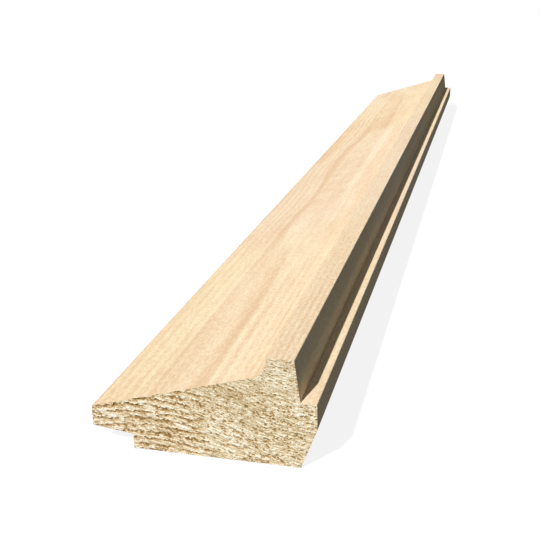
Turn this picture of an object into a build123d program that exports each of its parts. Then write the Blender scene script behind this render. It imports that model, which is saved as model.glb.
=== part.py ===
"""Shadow strip: a length of planed timber moulding, all in one section.

The flat back lies on the wall. The thin lip on the left covers the edge of a wall panel, the broad face
slopes up to a ridge, and the step on the right of the ridge makes the shadow line beside the ceiling.
X runs across the strip, Y along it and Z out from the wall. The origin is under its middle, on the back.
"""
import os
from math import atan2, pi, tan

from build123d import *

# Length of the piece, in millimetres like every other size here
length = 400.0

# Sizes across the strip along its back, from the lip to the ceiling edge
lip_reach = 8.0
back_width = 32.0
bevel_width = 3.0

# Heights at the ceiling edge, from the wall outwards
bevel_height = 8.0
edge_height = 5.0
shadow_depth = 8.0

# Lip and the rebate below it, which flares towards its mouth
lip_thickness = 4.0
rebate_depth = 3.0
rebate_flare = 1.0

# Ridge: its flat cap, how far it stands up from the sloping face, and the cove between the two
cap_width = 5.0
ridge_rise = 3.25
cove_radius = 4.0

# Step beside the ridge: a level ledge, and a wall that leans over towards the ridge
ledge_width = 3.0
wall_lean = 1.0

# Slight rounding that planing and handling leave on the long outer edges
arris_radius = 0.2

# Least height of upright side that the cove leaves below the cap's rounded edge
least_flank = 0.02

# Overall section
width = lip_reach + back_width + bevel_width
thickness = bevel_height + edge_height + shadow_depth
left = -width / 2
right = width / 2

# Corners of the section, from the lip, along the back and over the ridge
lip_mouth = (left, rebate_depth + rebate_flare)
rebate_corner = (left + lip_reach, rebate_depth)
back_left = (left + lip_reach, 0)
back_right = (right - bevel_width, 0)
edge_bottom = (right, bevel_height)
edge_top = (right, bevel_height + edge_height)
ledge_corner = (right - ledge_width, bevel_height + edge_height)
cap_right = (right - ledge_width - wall_lean, thickness)
cap_left = (cap_right[0] - cap_width, thickness)
cove_corner = (cap_left[0], thickness - ridge_rise)
lip_top = (left, rebate_depth + rebate_flare + lip_thickness)
outer_corners = [
    lip_mouth,
    back_left,
    back_right,
    edge_bottom,
    edge_top,
    cap_right,
    cap_left,
    lip_top,
]

# The cove is tangent to the face and to the upright side of the ridge, which limits its radius
face_slope = atan2(cove_corner[1] - lip_top[1], cove_corner[0] - lip_top[0])
cove_room = ridge_rise - arris_radius - least_flank
largest_cove = cove_room * tan(pi / 4 + face_slope / 2)
cove = min(cove_radius, largest_cove)

with BuildPart() as shadow_strip:
    with BuildSketch(Plane.XZ) as section:
        with BuildLine():
            Polyline(
                lip_mouth,
                rebate_corner,
                back_left,
                back_right,
                edge_bottom,
                edge_top,
                ledge_corner,
                cap_right,
                cap_left,
                cove_corner,
                lip_top,
                close=True,
            )
        make_face()
        fillet(section.vertices().sort_by_distance(cove_corner)[0], radius=cove)
        arrises = [section.vertices().sort_by_distance(corner)[0] for corner in outer_corners]
        fillet(arrises, radius=arris_radius)
    extrude(amount=length / 2, both=True)

shadow_strip.part.label = "shadow_strip"
os.makedirs("parts", exist_ok=True)
export_step(shadow_strip.part, "parts/shadow_strip.step")
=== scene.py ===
"""Looks of the shadow strip: planed pale softwood with a soft growth-ring figure, and rough sawn ends.

The strip is one mesh in place of the CAD solid. Its outline comes from the solid's own end, its long faces
stay true, and its two ends are cut into real torn end grain. Lengths in this script are in millimetres.
"""
import math

import bpy
import numpy as np
from mathutils import Matrix, Vector
from mathutils.geometry import delaunay_2d_cdt


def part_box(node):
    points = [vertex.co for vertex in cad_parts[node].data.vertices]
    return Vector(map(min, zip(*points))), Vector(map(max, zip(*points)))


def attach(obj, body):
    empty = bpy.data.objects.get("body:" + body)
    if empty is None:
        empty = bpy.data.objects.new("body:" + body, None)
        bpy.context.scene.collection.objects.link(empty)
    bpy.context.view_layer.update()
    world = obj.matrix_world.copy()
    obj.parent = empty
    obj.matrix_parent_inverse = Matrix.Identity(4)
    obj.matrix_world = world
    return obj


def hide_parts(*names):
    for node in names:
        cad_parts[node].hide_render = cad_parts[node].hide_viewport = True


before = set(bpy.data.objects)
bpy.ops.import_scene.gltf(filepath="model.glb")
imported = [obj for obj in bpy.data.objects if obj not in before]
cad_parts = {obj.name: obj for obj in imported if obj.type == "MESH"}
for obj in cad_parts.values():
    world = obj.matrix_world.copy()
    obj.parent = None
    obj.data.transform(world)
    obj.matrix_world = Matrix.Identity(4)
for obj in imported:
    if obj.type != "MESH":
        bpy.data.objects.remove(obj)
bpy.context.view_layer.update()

MM = 0.001
STRIP = "shadow_strip"
LOW, HIGH = (np.array(corner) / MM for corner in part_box(STRIP))
HALF_LENGTH = HIGH[1]
LIP_X = LOW[0]
WIDTH = HIGH[0] - LIP_X
NEAR, FAR = -1, 1

# Mesh of the strip: spacing of points along its rim and over each end, the share of that spacing that inner
# points keep from the rim, rows of faces along the strip, and the angle from which an edge is crisp
RIM_PITCH = 0.15
END_PITCH = {NEAR: 0.105, FAR: 0.18}
EDGE_CLEARANCE = 0.6
SIDE_ROWS = 8
SHARP_ANGLE = math.radians(40)
# How near the end a corner of the solid lies, and how closely points have to agree
AT_END = 0.01
SAME_POINT = 1e-4
POINT_DIGITS = 4
WELD = 1e-6
# Material slots, and the name of the tone that each point carries, which only the ends show
PLANED, SAWN = 0, 1
TONE = "tone"
SIDE_TONE = 0.5

# Sloping face: its height at the lip's edge, and its rise to each millimetre across
FACE_FOOT = 8.0
FACE_SLOPE = 0.287

# Random hills come from a square table of this many draws a side
LATTICE = 512

# Growth rings on the sawn ends, from the lip's edge and the back: the top and the radius of their arch, their
# spacing, and how far across they show
RING_TOP = 12.0
RING_BEND = 55.0
RING_SPACING = 1.33
RINGS_CLEAR_TO = 19.0
RINGS_GONE_AT = 24.0
# The rings end raggedly: by how much in all, and the size of the unevenness across and up
RAGGED_END = 4.0
RAGGED_END_SIZE = (5.0, 1.5)
# Within a ring, from 0 to 1 going up: where its groove starts, where that turns to a crest, and where the
# crest fades
GROOVE_FOOT = (0.00, 0.28)
GROOVE_TOP = (0.42, 0.54)
CREST_FADE = (0.56, 0.95)
# The torn edge below the sloping face: where it starts and where it fades, going down
EDGE_START = (0.10, 0.30)
EDGE_FADE = (0.45, 0.75)
# Features that break off at random: what is left of one there, hills it breaks between, and the hills' size
GROOVE_BREAKS = (0.60, (0.25, 0.50), (2.4, 1.3))
GROOVE_TEETH = (0.35, (0.25, 0.60), (0.45, 0.9))
EDGE_BREAKS = (0.00, (0.40, 0.60), (0.6, 1.0))
TOOTH_LEAN = 0.6

# Torn grain is calmer where the saw left it smooth, and in the ridge, going up between two heights
SMOOTH_CALM = 0.80
RIDGE_CALM = 0.25
RIDGE_CALM_HEIGHTS = (11.0, 14.0)
# The weave keeps this share of its depth where the grain is calm, and slits lose this share among the rings
WEAVE_KEPT = 0.5
SLITS_LOST = 0.5

# Torn fibres fall to the right: their slope at a few places across, and how it varies from one to the next
FIBRE_SLOPES = ((0.0, 0.10), (15.0, 0.16), (23.0, 0.38), (31.0, 0.34), (37.0, 0.16), (43.0, 0.02))
FIBRE_SPREAD = 0.11
FALL_STEPS = 400
# Fibres that stand up and slits between them, scattered: how many, their half lengths and their half widths
FIBRES = (3000, (0.50, 1.70), (0.10, 0.19))
SLITS = (1900, (0.18, 0.50), (0.13, 0.25))
# How strong these strokes are, and the share of a stroke's half length and half width before it tapers
STROKE_STRENGTHS = (0.3, 1.0)
STROKE_CORE = 0.2

# Layers of random hills in the torn grain, each with its weight and its size in two directions
RING_SWAY = ((0.36, 4.0, 2.4), (0.18, 1.0, 0.9), (0.55, 0.42, 0.8))
WEAVE = ((0.36, 1.7, 0.26), (0.36, 0.85, 0.20), (0.28, 0.27, 0.16))
GRIT_SIZE = 0.2

# Depth of the tear, and how much each layer of the torn grain lifts the surface and lightens it. The tone
# follows the lift, so sunk layers are darker partly as painted shade and raised fibres and crests paler
# partly as painted highlight
MEAN_TEAR = 0.20
DEEPEST_TEAR = 0.50
MEAN_TONE = 0.46
LAYERS = {
    "weave": (0.16, 0.60),
    "grooves": (-0.15, -0.62),
    "crests": (0.05, 0.12),
    "fibres": (0.14, 0.42),
    "slits": (-0.19, -0.80),
    "grit": (0.04, 0.35),
    "edge": (-0.08, -0.32),
    "smooth": (0.05, 0.26),
    "shades": (0.0, 1.0),
    "split": (-0.20, -0.60),
}
END_SEEDS = {NEAR: 11, FAR: 47}
# A split in the near end's lip, an arc that bends down: height at the lip's edge, bend, reach and half
# width, and between which shares of its half width it fades
LIP_SPLIT = (7.7, 0.45, 2.1, 0.14)
SPLIT_FADE = (0.5, 1.5)
# Patches and splinters that the saw left smooth: middle x and z, half length, half height, how pale
SMOOTH = {
    NEAR: [
        (2.3, 7.2, 1.0, 0.7, 1.0),
        (4.2, 6.4, 1.0, 0.5, 1.0),
        (6.0, 6.0, 0.6, 0.6, 1.0),
        (6.2, 5.8, 0.3, 0.4, 1.0),
        (10.1, 9.4, 0.4, 0.2, 2.0),
        (11.6, 9.0, 1.1, 0.5, 1.0),
        (12.3, 7.4, 0.6, 0.5, 1.0),
        (11.4, 4.9, 1.2, 0.5, 0.8),
        (12.3, 4.9, 0.4, 0.3, 1.5),
        (10.0, 2.5, 0.4, 0.4, 1.2),
        (14.8, 2.0, 2.2, 0.2, 1.4),
        (17.8, 5.8, 1.9, 0.27, 3.0),
        (18.9, 8.8, 1.1, 0.3, 1.2),
        (19.4, 2.0, 0.5, 0.2, 1.4),
        (23.7, 7.3, 0.4, 0.2, 1.6),
        (28.2, 8.0, 0.3, 0.2, 1.8),
        (28.8, 11.0, 0.5, 0.3, 1.0),
        (40.4, 9.1, 0.2, 0.5, 1.2),
    ],
    FAR: [
        (3.5, 7.0, 0.8, 0.6, 1.0),
        (8.8, 5.2, 1.2, 0.5, 1.0),
        (14.6, 9.3, 0.9, 0.6, 1.0),
        (16.9, 5.0, 1.6, 0.2, 2.0),
        (18.2, 3.1, 1.3, 0.4, 1.0),
        (27.4, 9.2, 0.4, 0.2, 1.6),
    ],
}
# Broad shades of the torn grain: middle x and z, half length, half height, how much paler
SHADES = {
    NEAR: [
        (2.0, 4.4, 2.2, 1.2, -0.09),
        (3.6, 6.9, 2.4, 1.6, 0.06),
        (8.6, 7.6, 3.5, 2.2, -0.05),
        (9.2, 8.8, 2.4, 1.6, -0.09),
        (9.5, 2.5, 2.2, 3.0, -0.11),
        (14.2, 3.5, 5.0, 5.0, -0.11),
        (23.5, 3.4, 2.4, 2.2, 0.08),
        (27.5, 4.8, 6.5, 5.0, 0.10),
        (28.0, 12.6, 7.0, 2.8, -0.15),
        (32.6, 17.2, 2.4, 2.6, 0.08),
        (34.0, 2.0, 3.0, 2.4, 0.05),
        (36.0, 4.2, 3.0, 2.6, -0.08),
        (36.0, 17.8, 4.5, 4.6, 0.12),
        (40.2, 11.8, 4.0, 2.6, 0.12),
    ],
    FAR: [
        (13.0, 5.5, 6.0, 4.0, -0.10),
        (29.0, 6.0, 6.5, 5.0, 0.08),
        (36.0, 17.5, 4.5, 4.6, 0.08),
    ],
}
# Shares of a patch's reach at which it starts to fade and is gone
SMOOTH_CORE = 0.6
SHADE_CORE = 0.0
PATCH_RIM = 1.1

# Colours of the sawn ends, from torn deep to standing up, the deep brown partly painted shade and the pale
# top partly painted highlight, and their tint right of the rings, which is a little less red
SAWN_COLOURS = (
    (0.00, (0.268, 0.160, 0.057)),
    (0.25, (0.462, 0.303, 0.140)),
    (0.50, (0.677, 0.531, 0.336)),
    (0.75, (0.843, 0.729, 0.524)),
    (1.00, (0.934, 0.911, 0.803)),
)
RIGHT_TINT = (0.985, 1.008, 1.008, 1.0)

# Colours of the planed faces, from pale to dark
PLANED_COLOURS = (
    (0.0, (0.990, 0.850, 0.588)),
    (0.5, (0.930, 0.714, 0.470)),
    (1.0, (0.830, 0.586, 0.357)),
)

# Random textures of the wood: size of their features across, along and up, then detail and roughness
BASE_NOISE = ((8.0, 45.0, 8.0), 3.0, 0.5)
DRIFT_NOISE = ((7.0, 50.0, 7.0), 3.0, 0.5)
LINE_NOISE = ((4.0, 60.0, 4.0), 2.0, 0.5)
HAIR_NOISE = ((0.7, 60.0, 0.7), 2.0, 0.5)
CLOUD_NOISE = ((2.2, 11.0, 2.2), 3.0, 0.5)
UNEVEN_NOISE = ((2.0, 9.0, 2.0), 2.0, 0.5)
BLOTCH_NOISE = ((5.0, 6.0, 5.0), 3.0, 0.5)
FIBRE_NOISE = ((0.45, 5.0, 0.45), 3.0, 0.6)
MOTTLE_NOISE = ((0.55, 1.2, 0.55), 2.0, 0.8)
BROAD_MOTTLE_NOISE = ((1.0, 4.0, 1.0), 2.0, 0.5)
FUZZ_NOISE = ((0.22, 0.22, 0.22), 2.0, 0.5)
# How far they swing in all: the first two move the grain across, and the others change the tone
DRIFT_SWING = 0.9
UNEVEN_SWING = 1.5
HAIR_SWING = 0.4
CLOUD_SWING = 0.5
BLOTCH_SWING = 0.7
FIBRE_SWING = 0.35
MOTTLE_SWING = 2.1
FUZZ_SWING = 0.7
# The broad mottle grows along the strip: places along, and its swing there
BROAD_MOTTLE_GROWS = (80.0, 320.0, 0.0, 1.1)
# Part of a texture's range that is spread over the base tones, and over the strengths of the lines
NOISE_RANGE = (0.3, 0.7)
BASE_TONES = (0.17, 0.39)
LINE_STRENGTHS = (0.17, 0.31)

# Figure of the planed faces, measured across from the lip's edge and along from the near end: how far across
# the grain leans to each millimetre down, where its pale line lies, and the spacings and share of its lines
GRAIN_LEAN = 1.0
PALE_LINE = 5.6
LINE_SPACING = 2.4
FINE_SPACING = 0.83
FINE_SHARE = 0.25
# The lines right of the fingers start from a pale one, wider apart there and more crowded towards the cove
FINGER_MIDDLE = 17.0
FINGER_REACH = 6.5
RIGHT_PALE_LINE = 23.2
RIGHT_SPREAD = 0.72
RIGHT_CROWDING = 0.063
# The lines fade away from the near end, left and right of the fingers: places along, and the strength there
LEFT_LINES_FADE = (60.0, 15.0, 1.0, 1.5)
RIGHT_LINES_FADE = (75.0, 25.0, 0.35, 1.5)
# The grain waves in the middle of the strip: places along, and how far across it lies there
GRAIN_WAVE = (
    (0.0, 0.0),
    (90.0, 0.0),
    (118.0, 0.2),
    (140.0, 1.3),
    (160.0, 0.9),
    (176.0, -0.3),
    (192.0, -0.9),
    (212.0, -1.1),
    (230.0, -0.2),
    (247.0, 1.4),
    (268.0, 1.6),
    (300.0, 0.4),
    (330.0, 0.0),
    (400.0, 0.0),
)
# Across, the wave is gone at the first of these places and whole at the second
WAVE_FADE = (20.0, 13.0)
# A band follows the wave: its middle across, its two half widths, where it widens, and from, to and fade
# along
BAND_MIDDLE = 12.3
BAND_HALF_WIDTHS = (2.0, 3.0)
BAND_WIDENS = (145.0, 185.0)
BAND_STRETCH = (88.0, 266.0, 14.0)
BAND_DARKENING = 0.56
# Where the blotches lie: from, to and fade across, and the same along
BLOTCHES = ((14.0, 24.0, 1.0), (100.0, 255.0, 10.0))
# Two tan fingers: across, their straight side, the edge opposite, and how far that draws in towards the tip,
# and along, each one's start and length
FINGER_SIDE = 12.0
FINGER_EDGE = 22.7
FINGER_TAPER = 3.2
FINGERS = ((-10.0, 94.0), (254.0, 116.0))
# How they fade at that side, at that edge and at both ends
FINGER_SIDE_FADE = 0.6
FINGER_EDGE_FADE = (-0.5, 0.6)
FINGER_END_FADE = 6.0
# A finger is darkest beside its edge: two distances in from there, and its darkness at each
FINGER_SHADE = (4.0, 0.3, 0.45, 1.0)
FINGER_DARKENING = 0.38
# Soft patches of the figure: from, to and fade across, the same along, and how much darker they are
PATCHES = (
    ((14.8, 23.6, 0.7), (125.0, 208.0, 12.0), 0.24),
    ((14.8, 23.6, 0.7), (208.0, 250.0, 8.0), 0.11),
    ((24.0, 25.4, 0.5), (124.0, 160.0, 8.0), -0.22),
    ((24.0, 26.6, 0.6), (160.0, 186.0, 8.0), -0.10),
    ((23.8, 27.2, 0.5), (186.0, 253.0, 6.0), -0.24),
    ((26.8, 32.0, 0.8), (90.0, 254.0, 14.0), 0.13),
    ((29.6, 32.0, 0.8), (50.0, 440.0, 14.0), 0.08),
    ((7.0, 26.0, 1.5), (258.0, 297.0, 8.0), 0.10),
    ((12.8, 24.0, 1.0), (258.0, 297.0, 8.0), 0.20),
    ((10.4, 12.2, 1.2), (208.0, 256.0, 12.0), 0.14),
    ((7.8, 10.4, 0.9), (97.0, 123.0, 6.0), 0.20),
    ((-2.0, 3.0, 1.5), (95.0, 178.0, 12.0), 0.14),
    ((-2.0, 4.5, 2.0), (205.0, 305.0, 14.0), 0.37),
    ((-2.0, 3.6, 1.2), (-40.0, 26.0, 12.0), 0.12),
    ((2.0, 11.0, 1.5), (40.0, 88.0, 10.0), -0.06),
    ((22.4, 27.0, 1.0), (-40.0, 84.0, 14.0), -0.08),
    ((11.2, 12.7, 0.7), (-40.0, 92.0, 10.0), 0.12),
    ((11.2, 13.0, 0.8), (258.0, 392.0, 12.0), 0.16),
    ((15.5, 20.5, 1.5), (312.0, 362.0, 10.0), 0.05),
    ((2.0, 10.5, 1.5), (305.0, 388.0, 10.0), -0.06),
    ((22.0, 30.0, 1.5), (300.0, 365.0, 10.0), 0.08),
    ((26.5, 34.0, 1.0), (252.0, 300.0, 14.0), 0.10),
    ((-2.0, 45.0, 2.0), (372.0, 440.0, 10.0), 0.15),
    ((-2.0, 0.5, 0.4), (-40.0, 440.0, 5.0), 0.45),
)
# Soft patches with a tint of their own: from, to and fade across, the same along, and the tint
TINTS = (
    ((-2.0, 10.0, 2.0), (-40.0, 92.0, 14.0), (1.0, 1.003, 0.97, 1.0)),
    ((-2.0, 45.0, 2.0), (95.0, 208.0, 14.0), (1.0, 0.995, 1.045, 1.0)),
    ((7.0, 45.0, 2.0), (208.0, 255.0, 14.0), (1.0, 0.995, 1.045, 1.0)),
    ((-2.0, 45.0, 2.0), (372.0, 440.0, 10.0), (0.995, 1.0, 1.04, 1.0)),
)

# The ridge's shaded side lies right of the ridge's edge and above its foot. Right of that edge, the figure's
# lines keep only a share of their strength
RIDGE_EDGE = 39.0
WALL_START = (RIDGE_EDGE - 0.2, RIDGE_EDGE + 0.1)
WALL_FOOT = (13.0, 13.4)
CALM_SHARE = 0.2
# Painted shade and painted light on that side: tints that grey it as painted shade, and lighten it as painted
# bounced light in a warm streak low at its near end and along its foot further back: from, to and fade in
# height, the same along, and the tint
WALL_PAINTED_LIGHT_AND_SHADE = (
    ((16.3, 24.0, 0.8), (-40.0, 440.0, 5.0), (0.88, 0.92, 0.92, 1.0)),
    ((10.0, 16.3, 0.8), (-40.0, 90.0, 60.0), (1.04, 1.05, 1.05, 1.0)),
    ((10.0, 16.3, 0.8), (150.0, 440.0, 60.0), (0.73, 0.80, 0.81, 1.0)),
    ((10.0, 14.2, 0.6), (130.0, 440.0, 40.0), (1.18, 1.24, 1.25, 1.0)),
)
# The ridge's top, by its from, to and fade across, and the ledge, by its middle and half width across, are
# a little darker
RIDGE_TOP = (33.0, RIDGE_EDGE, 1.0)
RIDGE_DARKENING = 0.10
LEDGE = (42.0, 3.0)
LEDGE_DARKENING = 0.12

# Surface of the wood: roughness, and depth and strength of the finest relief
PLANED_ROUGHNESS = 0.80
SAWN_ROUGHNESS = 0.85
FINE_RELIEF = 0.05
PLANED_RELIEF_STRENGTH = 0.4
SAWN_RELIEF_STRENGTH = 0.6

# Light, with each lamp's direction of travel, and how bright the pale floor is to the camera
SUN_TRAVEL = (0.221, 0.694, -0.685)
SUN_STRENGTH = 4.10
BACK_TRAVEL = (0.0, -0.9988, -0.05)
BACK_STRENGTH = 2.2
LAMP_ANGLE = math.radians(1.2)
SKY_STRENGTH = 0.05
SKY_COLOUR = (0.84, 1.0, 1.18, 1.0)
WHITE = (1.0, 1.0, 1.0, 1.0)
FLOOR_BOUNCE = (0.205, 0.216, 0.225, 1.0)
FLOOR_GLOW = 0.88
FLOOR_SHADE = (0.13, 0.13, 0.13, 1.0)
FLOOR_SIZE = 12000.0
FLOOR_DROP = 0.05

# Camera: where it stands, which way it looks, and the nearest and farthest that it sees
CAMERA_PLACE = (48.13, -331.16, 85.41)
CAMERA_AZIMUTH = math.radians(14.74)
CAMERA_ELEVATION = math.radians(19.52)
CAMERA_ROLL = math.radians(-1.29)
CAMERA_LENS = 57.89
CAMERA_SENSOR = 36.0
CAMERA_SEES = (10.0, 100000.0)


def ease(low, high, value):
    """0 below low, 1 above high, and a smooth rise between them."""
    t = np.clip((value - low) / (high - low), 0, 1)
    return t * t * (3 - 2 * t)


def hills(u, v, seed):
    """Soft random hills over a plane, from 0 to 1, one to each unit of u and v."""
    table = np.random.default_rng(seed).random((LATTICE, LATTICE))
    low_u = np.floor(u).astype(int)
    low_v = np.floor(v).astype(int)
    along_u = ease(0, 1, u - low_u)
    along_v = ease(0, 1, v - low_v)
    low_row = table[low_u % LATTICE, low_v % LATTICE] * (1 - along_u)
    low_row += table[(low_u + 1) % LATTICE, low_v % LATTICE] * along_u
    high_row = table[low_u % LATTICE, (low_v + 1) % LATTICE] * (1 - along_u)
    high_row += table[(low_u + 1) % LATTICE, (low_v + 1) % LATTICE] * along_u
    return low_row * (1 - along_v) + high_row * along_v


def layered(u, v, layers, seed):
    """A sum of random hills, each layer with its own weight and size."""
    return sum(
        weight * hills(u / size_u, v / size_v, seed + k)
        for k, (weight, size_u, size_v) in enumerate(layers)
    )


def broken(u, v, breaks, seed):
    """1 where a feature is whole and less where it breaks off at random."""
    least, heights, (size_u, size_v) = breaks
    return least + (1 - least) * ease(*heights, hills(u / size_u, v / size_v, seed))


def fibre_slope(x):
    """How steeply the torn fibres fall to the right."""
    return np.interp(x, *zip(*FIBRE_SLOPES))


def fibre_fall(x):
    """How far the torn fibres have fallen between the lip's edge and x."""
    places = np.linspace(0, WIDTH, FALL_STEPS)
    falls = np.cumsum(fibre_slope(places)) * places[1]
    return np.interp(x, places, falls)


def scattered(x, z, strokes, seed):
    """Strokes scattered over an end along the fibres: up to 1 in the middle of one, 0 away from all."""
    count, half_lengths, half_widths = strokes
    draw = np.random.default_rng(seed)
    middles = draw.uniform((0, 0), (WIDTH, HIGH[2]), (count, 2))
    lengths = half_lengths[0] + (half_lengths[1] - half_lengths[0]) * draw.random(count) ** 2
    widths = draw.uniform(*half_widths, count)
    slopes = fibre_slope(middles[:, 0]) + FIBRE_SPREAD * draw.normal(size=count)
    strengths = draw.uniform(*STROKE_STRENGTHS, count)
    order = np.argsort(x)
    found = np.zeros_like(x)
    for middle, length, width, slope, strength in zip(middles, lengths, widths, slopes, strengths):
        reach = (middle[0] - length, middle[0] + length)
        start, stop = np.searchsorted(x, reach, sorter=order)
        near = order[start:stop]
        off_x = x[near] - middle[0]
        off_z = z[near] - middle[1] + slope * off_x
        taper = 1 - ease(STROKE_CORE, 1.0, np.abs(off_x) / length)
        shape = strength * taper * (1 - ease(STROKE_CORE, 1.0, np.abs(off_z) / width))
        found[near] = np.maximum(found[near], shape)
    return found


def patched(x, z, patches, core):
    """The sum of patches that fall to the right as the fibres do, each fading from core of its reach."""
    found = np.zeros_like(x)
    for middle_x, middle_z, half_length, half_height, strength in patches:
        off_x = (x - middle_x) / half_length
        off_z = (z - middle_z + fibre_slope(middle_x) * (x - middle_x)) / half_height
        found += strength * (1 - ease(core, PATCH_RIM, np.hypot(off_x, off_z)))
    return found


def lip_split(x, z):
    """1 along the split in the lip."""
    height, bend, reach, half_width = LIP_SPLIT
    off = np.abs(z - height + bend * x ** 2) / half_width
    return (1 - ease(*SPLIT_FADE, off)) * (x < reach)


def torn_grain(x, z, side):
    """(depth of the tear, tone from 0 dark to 1 pale) of an end, at x and z from the lip and the back.

    Each random layer has a seed of its own, some steps on from the end's.
    """
    seed = END_SEEDS[side]
    arch = z + (x - RING_TOP) ** 2 / (2 * RING_BEND)
    within = (arch + layered(x, arch, RING_SWAY, seed)) / RING_SPACING % 1
    above_groove = ease(*GROOVE_TOP, within)
    size_x, size_z = RAGGED_END_SIZE
    ragged = RAGGED_END * (hills(x / size_x, z / size_z, seed + 3) - 0.5)
    clear = 1 - ease(RINGS_CLEAR_TO, RINGS_GONE_AT, x + ragged)
    unbroken = broken(x, arch, GROOVE_BREAKS, seed + 4)
    toothed = broken(x + TOOTH_LEAN * arch, arch, GROOVE_TEETH, seed + 8)
    level = z + fibre_fall(x)
    smooth = patched(x, z, SMOOTH[side], SMOOTH_CORE)
    rough = 1 - SMOOTH_CALM * np.minimum(smooth, 1)
    rough *= 1 - RIDGE_CALM * ease(*RIDGE_CALM_HEIGHTS, z)
    below_face = FACE_FOOT + FACE_SLOPE * x - z
    torn_edge = ease(*EDGE_START, below_face) * (1 - ease(*EDGE_FADE, below_face)) * clear
    weave_depth = WEAVE_KEPT + (1 - WEAVE_KEPT) * rough
    # Tones follow depth: what is torn deep is darker, partly as painted shade, and what stands up is paler,
    # partly as painted highlight
    layers = {
        "weave": (layered(x, level, WEAVE, seed + 5) - 0.5) * weave_depth,
        "grooves": ease(*GROOVE_FOOT, within) * (1 - above_groove) * clear * unbroken * toothed * rough,
        "crests": above_groove * (1 - ease(*CREST_FADE, within)) * clear,
        "fibres": scattered(x, z, FIBRES, seed + 9) * rough,
        "slits": scattered(x, z, SLITS, seed + 10) * (1 - SLITS_LOST * clear) * rough,
        "grit": hills(x / GRIT_SIZE, z / GRIT_SIZE, seed + 11) - 0.5,
        "edge": torn_edge * broken(x, level, EDGE_BREAKS, seed + 12),
        "smooth": smooth,
        "shades": patched(x, z, SHADES[side], SHADE_CORE),
        "split": lip_split(x, z) * (side == NEAR),
    }
    lift = sum(LAYERS[name][0] * layer for name, layer in layers.items())
    tone = sum(LAYERS[name][1] * layer for name, layer in layers.items())
    return np.clip(MEAN_TEAR - lift, 0, DEEPEST_TEAR), np.clip(MEAN_TONE + tone, 0, 1)


def end_outline(node):
    """The strip's section as an (n, 2) array of x, z in order, read from the rim of the solid's near end."""
    mesh = node.data
    points = np.array([v.co for v in mesh.vertices]) / MM
    places = [tuple(p) for p in points[:, [0, 2]].round(POINT_DIGITS)]
    at_end = points[:, 1] < LOW[1] + AT_END
    rim = set()
    for face in mesh.polygons:
        corners = list(face.vertices)
        if not all(at_end[c] for c in corners):
            continue
        for a, b in zip(corners, corners[1:] + corners[:1]):
            if (places[b], places[a]) in rim:
                rim.remove((places[b], places[a]))
            else:
                rim.add((places[a], places[b]))
    following = dict(rim)
    loop = [min(following)]
    while following[loop[-1]] != loop[0]:
        loop.append(following[loop[-1]])
    return np.array(loop)


def divided(outline):
    """The outline with points added along its straight runs, about RIM_PITCH apart."""
    points = []
    for a, b in zip(outline, np.roll(outline, -1, axis=0)):
        count = max(1, round(np.hypot(*(b - a)) / RIM_PITCH))
        points += [a + (b - a) * k / count for k in range(count)]
    return np.array(points)


def inside(points, outline):
    """True for each point that lies inside the outline."""
    crossings = np.zeros(len(points), int)
    for a, b in zip(outline, np.roll(outline, -1, axis=0)):
        spans = (a[1] > points[:, 1]) != (b[1] > points[:, 1])
        rise = b[1] - a[1] if b[1] != a[1] else 1.0
        meets = a[0] + (points[:, 1] - a[1]) * (b[0] - a[0]) / rise
        crossings += spans & (points[:, 0] < meets)
    return crossings % 2 == 1


def distance_to(points, outline):
    """Each point's distance to the nearest stretch of the outline."""
    nearest = np.full(len(points), np.inf)
    for a, b in zip(outline, np.roll(outline, -1, axis=0)):
        run = b - a
        along = np.clip((points - a) @ run / (run @ run), 0, 1)
        nearest = np.minimum(nearest, np.hypot(*(points - a - along[:, None] * run).T))
    return nearest


def end_grid(outline, rim, pitch):
    """(points, triangles) of a fine mesh over the section, its first points being the rim's own."""
    low, high = outline.min(0), outline.max(0)
    rows = np.arange(low[1], high[1], pitch * math.sqrt(3) / 2)
    columns = np.arange(low[0], high[0], pitch)
    z, x = np.meshgrid(rows, columns, indexing="ij")
    x[1::2] += pitch / 2
    grid = np.column_stack([x.ravel(), z.ravel()])
    grid = grid[inside(grid, outline)]
    grid = grid[distance_to(grid, outline) > pitch * EDGE_CLEARANCE]
    points = [Vector(p) for p in np.vstack([rim, grid])]
    count = len(rim)
    edges = [(k, (k + 1) % count) for k in range(count)]
    inside_only = 1
    found = delaunay_2d_cdt(points, edges, [], inside_only, WELD)
    return np.array([p[:] for p in found[0]]), [tuple(t) for t in found[2]]


def strip_mesh(outline):
    """The whole strip as a closed mesh: two torn ends and the long faces between them."""
    rim = divided(outline)
    count = len(rim)
    vertices = []
    tones = []
    faces = []
    slots = []
    starts = {}
    for side in (NEAR, FAR):
        points, triangles = end_grid(outline, rim, END_PITCH[side])
        assert np.allclose(points[:count], rim, atol=SAME_POINT)
        starts[side] = len(vertices)
        depth, tone = torn_grain(points[:, 0] - LIP_X, points[:, 1], side)
        y = side * (HALF_LENGTH - depth)
        vertices += list(np.column_stack([points[:, 0], y, points[:, 1]]))
        tones += list(tone)
        for a, b, c in triangles:
            corners = (a, b, c) if side == NEAR else (a, c, b)
            faces.append([starts[side] + k for k in corners])
            slots.append(SAWN)
    rows = [starts[NEAR] + np.arange(count)]
    for y in np.linspace(-HALF_LENGTH, HALF_LENGTH, SIDE_ROWS + 1)[1:-1]:
        rows.append(len(vertices) + np.arange(count))
        vertices += list(np.column_stack([rim[:, 0], np.full(count, y), rim[:, 1]]))
        tones += [SIDE_TONE] * count
    rows.append(starts[FAR] + np.arange(count))
    for here, there in zip(rows, rows[1:]):
        for k in range(count):
            m = (k + 1) % count
            faces.append([here[m], here[k], there[k], there[m]])
            slots.append(PLANED)
    mesh = bpy.data.meshes.new("planed_strip")
    mesh.from_pydata((np.array(vertices) * MM).tolist(), [], faces)
    mesh.polygons.foreach_set("material_index", slots)
    mesh.polygons.foreach_set("use_smooth", [True] * len(faces))
    mesh.attributes.new(TONE, "FLOAT", "POINT").data.foreach_set("value", tones)
    mesh.set_sharp_from_angle(angle=SHARP_ANGLE)
    mesh.update()
    return mesh


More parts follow.
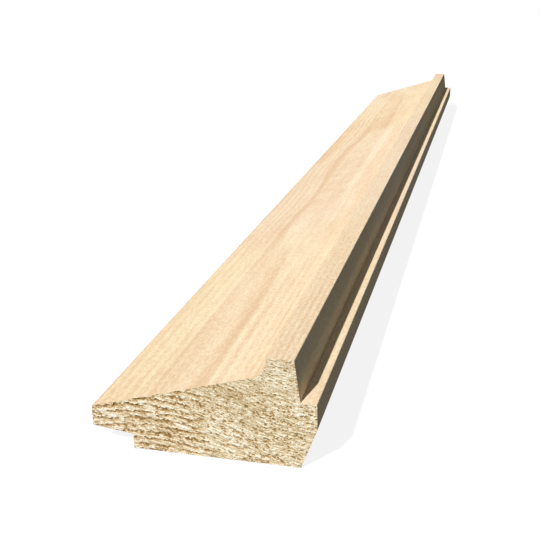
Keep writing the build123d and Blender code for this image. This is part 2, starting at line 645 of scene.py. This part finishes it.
class Nodes:
    """A node tree, filled by short calls. Inputs are numbers, colours or other nodes' outputs."""

    def __init__(self, tree):
        self.tree = tree
        tree.nodes.clear()

    def add(self, kind, inputs=None, **settings):
        """A new node with these inputs and settings."""
        node = self.tree.nodes.new(kind)
        for name, value in settings.items():
            setattr(node, name, value)
        for name, value in (inputs or {}).items():
            self.feed(node.inputs[name], value)
        return node

    def feed(self, socket, value):
        """Link an output to the socket, or set the socket's own value."""
        if isinstance(value, bpy.types.NodeSocket):
            self.tree.links.new(value, socket)
        else:
            socket.default_value = value

    def math(self, operation, *values):
        inputs = dict(enumerate(values))
        return self.add("ShaderNodeMath", inputs, operation=operation).outputs[0]

    def vector(self, operation, *values):
        inputs = dict(enumerate(values))
        return self.add("ShaderNodeVectorMath", inputs, operation=operation).outputs["Vector"]

    def noise(self, point, size, detail, roughness):
        """Noise from about 0 to 1, with features of that size along each axis, in millimetres."""
        stretched = self.vector("DIVIDE", point, size)
        inputs = {"Vector": stretched, "Scale": 1.0, "Detail": detail, "Roughness": roughness}
        return self.add("ShaderNodeTexNoise", inputs).outputs["Fac"]

    def swing(self, noise, width):
        """Noise from 0 to 1 as a swing to either side of 0, that wide in all."""
        return self.math("MULTIPLY", self.math("SUBTRACT", noise, 0.5), width)

    def span(self, value, low, high, new_low=0.0, new_high=1.0):
        """The value's place between low and high, as a place between new_low and new_high."""
        inputs = {"Value": value, 1: low, 2: high, 3: new_low, 4: new_high}
        return self.add("ShaderNodeMapRange", inputs, interpolation_type="SMOOTHSTEP").outputs[0]

    def curve(self, value, points):
        """The height of a smooth line at value, through points that are each a place and a height."""
        places, heights = zip(*points)
        start, length = places[0], places[-1] - places[0]
        low, rise = min(heights), max(heights) - min(heights)
        scaled = self.add("ShaderNodeMapRange", {"Value": value, 1: start, 2: start + length}).outputs[0]
        node = self.add("ShaderNodeFloatCurve", {"Value": scaled})
        marks = node.mapping.curves[0].points
        while len(marks) < len(points):
            marks.new(0.5, 0.5)
        for mark, (place, height) in zip(marks, points):
            mark.location = ((place - start) / length, (height - low) / rise)
        node.mapping.update()
        return self.math("MULTIPLY_ADD", node.outputs[0], rise, low)

    def mix(self, factor, a, b, blend="MIX"):
        node = self.add("ShaderNodeMix", {0: factor, 6: a, 7: b}, data_type="RGBA", blend_type=blend)
        return node.outputs[2]

    def ramp(self, factor, stops):
        """The colour at factor on a ramp through stops that are each a place and a colour."""
        node = self.add("ShaderNodeValToRGB", {"Fac": factor})
        points = node.color_ramp.elements
        while len(points) < len(stops):
            points.new(0.5)
        for point, (place, colour) in zip(points, stops):
            point.position = place
            point.color = (*colour, 1.0)
        return node.outputs["Color"]

    def bump(self, height, distance, strength):
        inputs = {"Height": height, "Distance": distance * MM, "Strength": strength}
        return self.add("ShaderNodeBump", inputs).outputs["Normal"]

    def finish(self, shader):
        self.add("ShaderNodeOutputMaterial", {"Surface": shader})


def new_material(name):
    """(material, its empty node tree)"""
    material = bpy.data.materials.new(name)
    material.use_nodes = True
    return material, Nodes(material.node_tree)


def place_in_mm(nodes):
    """The point being shaded, in millimetres from the middle of the strip's back."""
    coordinates = nodes.add("ShaderNodeTexCoord").outputs["Object"]
    return nodes.vector("MULTIPLY", coordinates, (1 / MM, 1 / MM, 1 / MM))


def streak(nodes, across, middle, half_width):
    """1 along the middle of a streak, falling to 0 at half_width to either side."""
    off = nodes.math("ABSOLUTE", nodes.math("SUBTRACT", across, middle))
    return nodes.span(off, half_width, 0.0)


def stretch_of(nodes, place, start, stop, fade):
    """1 between start and stop, fading in and out."""
    after_start = nodes.span(place, start - fade, start + fade)
    before_stop = nodes.span(place, stop + fade, stop - fade)
    return nodes.math("MULTIPLY", after_start, before_stop)


def soft_patch(nodes, across, along, wide, long):
    """1 inside a patch of the figure, fading at its edges."""
    return nodes.math("MULTIPLY", stretch_of(nodes, across, *wide), stretch_of(nodes, along, *long))


def finger(nodes, across, along, start, length):
    """A tan finger that narrows from one side towards its tip, darkest along that side."""
    progress = nodes.math("DIVIDE", nodes.math("SUBTRACT", along, start), length)
    taper = nodes.math("MULTIPLY", nodes.math("MULTIPLY", progress, progress), FINGER_TAPER)
    short_of_edge = nodes.math("SUBTRACT", nodes.math("SUBTRACT", FINGER_EDGE, taper), across)
    factors = (
        nodes.span(across, FINGER_SIDE - FINGER_SIDE_FADE, FINGER_SIDE + FINGER_SIDE_FADE),
        stretch_of(nodes, along, start, start + length, FINGER_END_FADE),
        nodes.span(short_of_edge, *FINGER_SHADE),
    )
    body = nodes.span(short_of_edge, *FINGER_EDGE_FADE)
    for factor in factors:
        body = nodes.math("MULTIPLY", body, factor)
    return body


def grain_across(nodes, point, from_lip, height):
    """How far across the grain a point lies: where its growth ring comes out on the sloping face."""
    face_height = nodes.math("MULTIPLY_ADD", from_lip, FACE_SLOPE, FACE_FOOT)
    below_face = nodes.math("SUBTRACT", face_height, height)
    across = nodes.math("SUBTRACT", from_lip, nodes.math("MULTIPLY", below_face, GRAIN_LEAN))
    return nodes.math("ADD", across, nodes.swing(nodes.noise(point, *DRIFT_NOISE), DRIFT_SWING))


def waved(nodes, across, along):
    """The place across, less the slow wave of the grain in the middle of the strip."""
    wave = nodes.math("MULTIPLY", nodes.curve(along, GRAIN_WAVE), nodes.span(across, *WAVE_FADE))
    return nodes.math("SUBTRACT", across, wave)


def stripes(nodes, place, spacing):
    """Even stripes, 0 at place 0 and at each spacing from it, and 1 half-way between."""
    turns = nodes.math("MULTIPLY", place, math.tau / spacing)
    return nodes.math("MULTIPLY_ADD", nodes.math("COSINE", turns), -0.5, 0.5)


def grain_lines(nodes, point, across, along, wavy):
    """Straight lines of late wood, strongest at the near end, faint in the fingers and beyond the first."""
    on_right = nodes.math("GREATER_THAN", across, FINGER_MIDDLE)
    beyond = nodes.math("SUBTRACT", across, RIGHT_PALE_LINE)
    spread = nodes.math("MULTIPLY_ADD", beyond, RIGHT_CROWDING, RIGHT_SPREAD)
    left_lines = stripes(nodes, nodes.math("SUBTRACT", wavy, PALE_LINE), LINE_SPACING)
    right_lines = stripes(nodes, nodes.math("MULTIPLY", spread, beyond), LINE_SPACING)
    broad_lines = nodes.mix(on_right, left_lines, right_lines)
    lines = nodes.math("MULTIPLY_ADD", stripes(nodes, wavy, FINE_SPACING), FINE_SHARE, broad_lines)
    strength = nodes.span(nodes.noise(point, *LINE_NOISE), *NOISE_RANGE, *LINE_STRENGTHS)
    left_fade = nodes.span(along, *LEFT_LINES_FADE)
    right_fade = nodes.span(along, *RIGHT_LINES_FADE)
    strength = nodes.math("MULTIPLY", strength, nodes.mix(on_right, left_fade, right_fade))
    outside_fingers = nodes.math("SUBTRACT", 1.0, streak(nodes, across, FINGER_MIDDLE, FINGER_REACH))
    strength = nodes.math("MULTIPLY", strength, outside_fingers)
    hair_lines = nodes.swing(nodes.noise(point, *HAIR_NOISE), HAIR_SWING)
    return nodes.math("MULTIPLY_ADD", lines, strength, hair_lines)


def figure(nodes, point, from_lip, across, along):
    """Tone of the planed wood, 0 pale to 1 dark: lines, a wavy band, two fingers and soft patches."""
    wavy = waved(nodes, across, along)
    lines = grain_lines(nodes, point, across, along, wavy)
    cloud = nodes.swing(nodes.noise(point, *CLOUD_NOISE), CLOUD_SWING)
    lively = nodes.span(from_lip, *WALL_START, 1.0, CALM_SHARE)
    base = nodes.span(nodes.noise(point, *BASE_NOISE), *NOISE_RANGE, *BASE_TONES)
    tone = nodes.math("MULTIPLY_ADD", nodes.math("ADD", cloud, lines), lively, base)

    ragged = nodes.math("ADD", wavy, nodes.swing(nodes.noise(point, *UNEVEN_NOISE), UNEVEN_SWING))
    half_width = nodes.span(along, *BAND_WIDENS, *BAND_HALF_WIDTHS)
    band = streak(nodes, ragged, BAND_MIDDLE, half_width)
    band = nodes.math("MULTIPLY", band, stretch_of(nodes, along, *BAND_STRETCH))
    tone = nodes.math("MULTIPLY_ADD", band, BAND_DARKENING, tone)
    blotch = nodes.swing(nodes.noise(point, *BLOTCH_NOISE), BLOTCH_SWING)
    tone = nodes.math("MULTIPLY_ADD", blotch, soft_patch(nodes, across, along, *BLOTCHES), tone)
    for start, length in FINGERS:
        shape = finger(nodes, across, along, start, length)
        tone = nodes.math("MULTIPLY_ADD", shape, FINGER_DARKENING, tone)
    for wide, long, darkening in PATCHES:
        shape = soft_patch(nodes, across, along, wide, long)
        tone = nodes.math("MULTIPLY_ADD", shape, darkening, tone)
    tone = nodes.math("MULTIPLY_ADD", stretch_of(nodes, from_lip, *RIDGE_TOP), RIDGE_DARKENING, tone)
    return nodes.math("MULTIPLY_ADD", streak(nodes, from_lip, *LEDGE), LEDGE_DARKENING, tone)


def tinted(nodes, colour, from_lip, height, across, along):
    """The colour with the tints of the figure, and with painted shade and painted bounced light on the
    ridge's shaded side.
    """
    for wide, long, tint in TINTS:
        colour = nodes.mix(soft_patch(nodes, across, along, wide, long), colour, tint, blend="MULTIPLY")
    on_wall = nodes.math("MULTIPLY", nodes.span(from_lip, *WALL_START), nodes.span(height, *WALL_FOOT))
    # Painted shade and painted bounced light on the ridge's shaded side, above its foot
    for high, long, tint in WALL_PAINTED_LIGHT_AND_SHADE:
        patch = nodes.math("MULTIPLY", on_wall, soft_patch(nodes, height, along, high, long))
        colour = nodes.mix(patch, colour, tint, blend="MULTIPLY")
    return colour


def dull_surface(nodes, colour, roughness, relief, strength):
    """Bare wood of that colour, without a shine, with fine relief."""
    inputs = {
        "Base Color": colour,
        "Roughness": roughness,
        "Specular IOR Level": 0.0,
        "Normal": nodes.bump(relief, FINE_RELIEF, strength),
    }
    nodes.finish(nodes.add("ShaderNodeBsdfPrincipled", inputs).outputs[0])


def planed_wood():
    """Pale planed softwood, with its figure, fine fibres and flecks."""
    material, nodes = new_material("planed_softwood")
    point = place_in_mm(nodes)
    place = nodes.add("ShaderNodeSeparateXYZ", {0: point}).outputs
    from_lip = nodes.math("SUBTRACT", place["X"], LIP_X)
    along = nodes.math("ADD", place["Y"], HALF_LENGTH)
    across = grain_across(nodes, point, from_lip, place["Z"])
    fibre = nodes.noise(point, *FIBRE_NOISE)
    mottle = nodes.noise(point, *MOTTLE_NOISE)
    broad_mottle = nodes.noise(point, *BROAD_MOTTLE_NOISE)
    tone = figure(nodes, point, from_lip, across, along)
    tone = nodes.math("ADD", tone, nodes.swing(fibre, FIBRE_SWING))
    tone = nodes.math("ADD", tone, nodes.swing(mottle, MOTTLE_SWING))
    tone = nodes.math("ADD", tone, nodes.swing(broad_mottle, nodes.span(along, *BROAD_MOTTLE_GROWS)))
    colour = tinted(nodes, nodes.ramp(tone, PLANED_COLOURS), from_lip, place["Z"], across, along)
    dull_surface(nodes, colour, PLANED_ROUGHNESS, fibre, PLANED_RELIEF_STRENGTH)
    return material


def sawn_end():
    """Torn end grain: brown where it is torn deep, pale where the fibres stand up, partly the grain's own
    colour and partly painted shade and painted highlight.
    """
    material, nodes = new_material("sawn_end_grain")
    point = place_in_mm(nodes)
    fuzz = nodes.noise(point, *FUZZ_NOISE)
    tone = nodes.add("ShaderNodeAttribute", attribute_name=TONE).outputs["Fac"]
    tone = nodes.math("ADD", tone, nodes.swing(fuzz, FUZZ_SWING))
    place = nodes.add("ShaderNodeSeparateXYZ", {0: point}).outputs
    from_lip = nodes.math("SUBTRACT", place["X"], LIP_X)
    past_rings = nodes.span(from_lip, RINGS_CLEAR_TO, RINGS_GONE_AT)
    colour = nodes.mix(past_rings, nodes.ramp(tone, SAWN_COLOURS), RIGHT_TINT, blend="MULTIPLY")
    dull_surface(nodes, colour, SAWN_ROUGHNESS, fuzz, SAWN_RELIEF_STRENGTH)
    return material


def seen_directly(nodes):
    """1 for rays from the camera and for what gloss or glass shows, 0 for light that bounces."""
    path = nodes.add("ShaderNodeLightPath").outputs
    seen = nodes.math("MAXIMUM", path["Is Camera Ray"], path["Is Glossy Ray"])
    return nodes.math("MAXIMUM", seen, path["Is Transmission Ray"])


def pale_floor():
    """A white floor that keeps the strip's shadow and throws little light back at it."""
    mesh = bpy.data.meshes.new("floor")
    half = FLOOR_SIZE * MM / 2
    drop = -FLOOR_DROP * MM
    mesh.from_pydata(
        [(-half, -half, drop), (half, -half, drop), (half, half, drop), (-half, half, drop)],
        [],
        [(0, 1, 2, 3)],
    )
    floor = bpy.data.objects.new("floor", mesh)
    bpy.context.scene.collection.objects.link(floor)
    material, nodes = new_material("pale_floor")
    glow = nodes.add("ShaderNodeEmission", {"Strength": FLOOR_GLOW}).outputs[0]
    shaded = nodes.add("ShaderNodeBsdfDiffuse", {"Color": FLOOR_SHADE}).outputs[0]
    seen = nodes.add("ShaderNodeAddShader", {0: glow, 1: shaded}).outputs[0]
    bounce = nodes.add("ShaderNodeBsdfDiffuse", {"Color": FLOOR_BOUNCE}).outputs[0]
    nodes.finish(nodes.add("ShaderNodeMixShader", {0: seen_directly(nodes), 1: bounce, 2: seen}).outputs[0])
    mesh.materials.append(material)


def lamp(name, travel, strength):
    """A distant lamp whose light travels that way."""
    source = bpy.data.lights.new(name, "SUN")
    source.energy = strength
    source.angle = LAMP_ANGLE
    placed = bpy.data.objects.new(name, source)
    placed.rotation_mode = "QUATERNION"
    placed.rotation_quaternion = Vector(travel).to_track_quat("-Z", "Y")
    bpy.context.scene.collection.objects.link(placed)


def light():
    """One high lamp from the front and left, a low one behind for the far end, and a dim even sky."""
    lamp("main_lamp", SUN_TRAVEL, SUN_STRENGTH)
    lamp("back_lamp", BACK_TRAVEL, BACK_STRENGTH)
    world = bpy.data.worlds.new("sky")
    bpy.context.scene.world = world
    world.use_nodes = True
    nodes = Nodes(world.node_tree)
    sky = nodes.add("ShaderNodeBackground", {"Color": SKY_COLOUR, "Strength": SKY_STRENGTH}).outputs[0]
    white = nodes.add("ShaderNodeBackground", {"Color": WHITE, "Strength": 1.0}).outputs[0]
    both = nodes.add("ShaderNodeMixShader", {0: seen_directly(nodes), 1: sky, 2: white}).outputs[0]
    nodes.add("ShaderNodeOutputWorld", {"Surface": both})


def camera():
    """A camera close to the near end, looking along the strip from its right."""
    lens = bpy.data.cameras.new("camera")
    lens.lens = CAMERA_LENS
    lens.sensor_width = CAMERA_SENSOR
    lens.clip_start, lens.clip_end = (distance * MM for distance in CAMERA_SEES)
    eye = bpy.data.objects.new("camera", lens)
    level = math.cos(CAMERA_ELEVATION)
    ahead = Vector((
        -math.sin(CAMERA_AZIMUTH) * level,
        math.cos(CAMERA_AZIMUTH) * level,
        -math.sin(CAMERA_ELEVATION),
    ))
    turn = ahead.to_track_quat("-Z", "Y").to_matrix().to_4x4() @ Matrix.Rotation(CAMERA_ROLL, 4, "Z")
    eye.matrix_world = Matrix.Translation(Vector(CAMERA_PLACE) * MM) @ turn
    bpy.context.scene.collection.objects.link(eye)
    bpy.context.scene.camera = eye


outline = end_outline(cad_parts[STRIP])
strip = bpy.data.objects.new("planed_strip", strip_mesh(outline))
bpy.context.scene.collection.objects.link(strip)
strip.data.materials.append(planed_wood())
strip.data.materials.append(sawn_end())
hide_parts(STRIP)
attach(strip, "root")

pale_floor()
light()
camera()
bpy.context.scene.view_settings.view_transform = "Standard"
